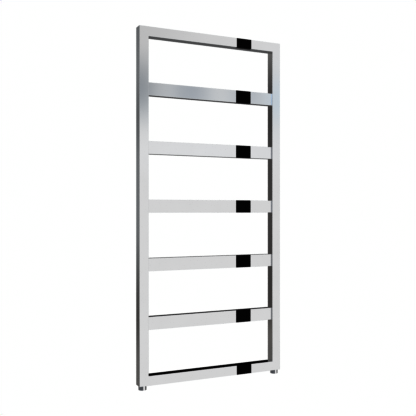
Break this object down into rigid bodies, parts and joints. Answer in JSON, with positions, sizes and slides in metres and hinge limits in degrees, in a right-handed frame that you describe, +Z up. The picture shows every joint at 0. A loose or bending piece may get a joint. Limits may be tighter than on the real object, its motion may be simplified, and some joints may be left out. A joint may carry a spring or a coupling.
{
  "type": "towel warmer rack",
  "caption": "Wall-hung water-fed towel radiator: square-tube frame, recessed flat bars, gloss black inserts in line, pipe sockets under the uprights, air vent on top.",
  "frame": {"origin": "midway between the two pipe sockets, level with their mouths (the bottom centre of the bounding box)", "axes": "+Z up; -Y is the front, which faces the room, and +Y the back, which faces the wall; +X is the right-hand side seen from the front"},
  "size_m": [0.5, 0.03, 1.113],
  "materials": {
    "chrome": "mirror-polished chrome plate on steel",
    "black_gloss": "gloss black moulded plastic",
    "foam_tape": "double-sided foam tape",
    "zinc_steel": "turned, zinc-plated steel",
    "seal_rubber": "smooth EPDM rubber",
    "white_plastic": "white moulded acetal",
    "nickel_brass": "nickel-plated turned brass"
  },
  "bodies": {
    "radiator": {"bar_1_insert": "black_gloss", "bar_1_left": "chrome", "bar_1_neck": "chrome", "bar_1_right": "chrome", "bar_2_insert": "black_gloss", "bar_2_left": "chrome", "bar_2_neck": "chrome", "bar_2_right": "chrome", "bar_3_insert": "black_gloss", "bar_3_left": "chrome", "bar_3_neck": "chrome", "bar_3_right": "chrome", "bar_4_insert": "black_gloss", "bar_4_left": "chrome", "bar_4_neck": "chrome", "bar_4_right": "chrome", "bar_5_insert": "black_gloss", "bar_5_left": "chrome", "bar_5_neck": "chrome", "bar_5_right": "chrome", "blanking_o_ring": "seal_rubber", "blanking_plug": "chrome", "bottom_rail_insert": "black_gloss", "bottom_rail_left": "chrome", "bottom_rail_neck": "chrome", "bottom_rail_right": "chrome", "bracket_bosses": "zinc_steel", "insert_tapes": "foam_tape", "left_bottom_plate": "chrome", "left_pipe_socket": "chrome", "left_top_port": "chrome", "left_upright": "chrome", "right_bottom_plate": "chrome", "right_pipe_socket": "chrome", "right_top_port": "chrome", "right_upright": "chrome", "top_rail_insert": "black_gloss", "top_rail_left": "chrome", "top_rail_neck": "chrome", "top_rail_right": "chrome", "vent_o_ring": "seal_rubber", "vent_plug": "chrome"},
    "vent_nozzle": {"vent_nozzle": "white_plastic"},
    "bleed_screw": {"bleed_screw": "nickel_brass"}
  },
  "joints": [
    {"name": "vent_nozzle_turn", "type": "hinge", "parent": "radiator", "child": "vent_nozzle", "pos_m": [0.235, 0, 1.1118], "axis": [0, 0, 1], "continuous": true},
    {"name": "bleed_screw_turn", "type": "hinge", "parent": "radiator", "child": "bleed_screw", "pos_m": [0.235, 0, 1.109], "axis": [0, 0, 1], "range_deg": [0, 450]}
  ]
}
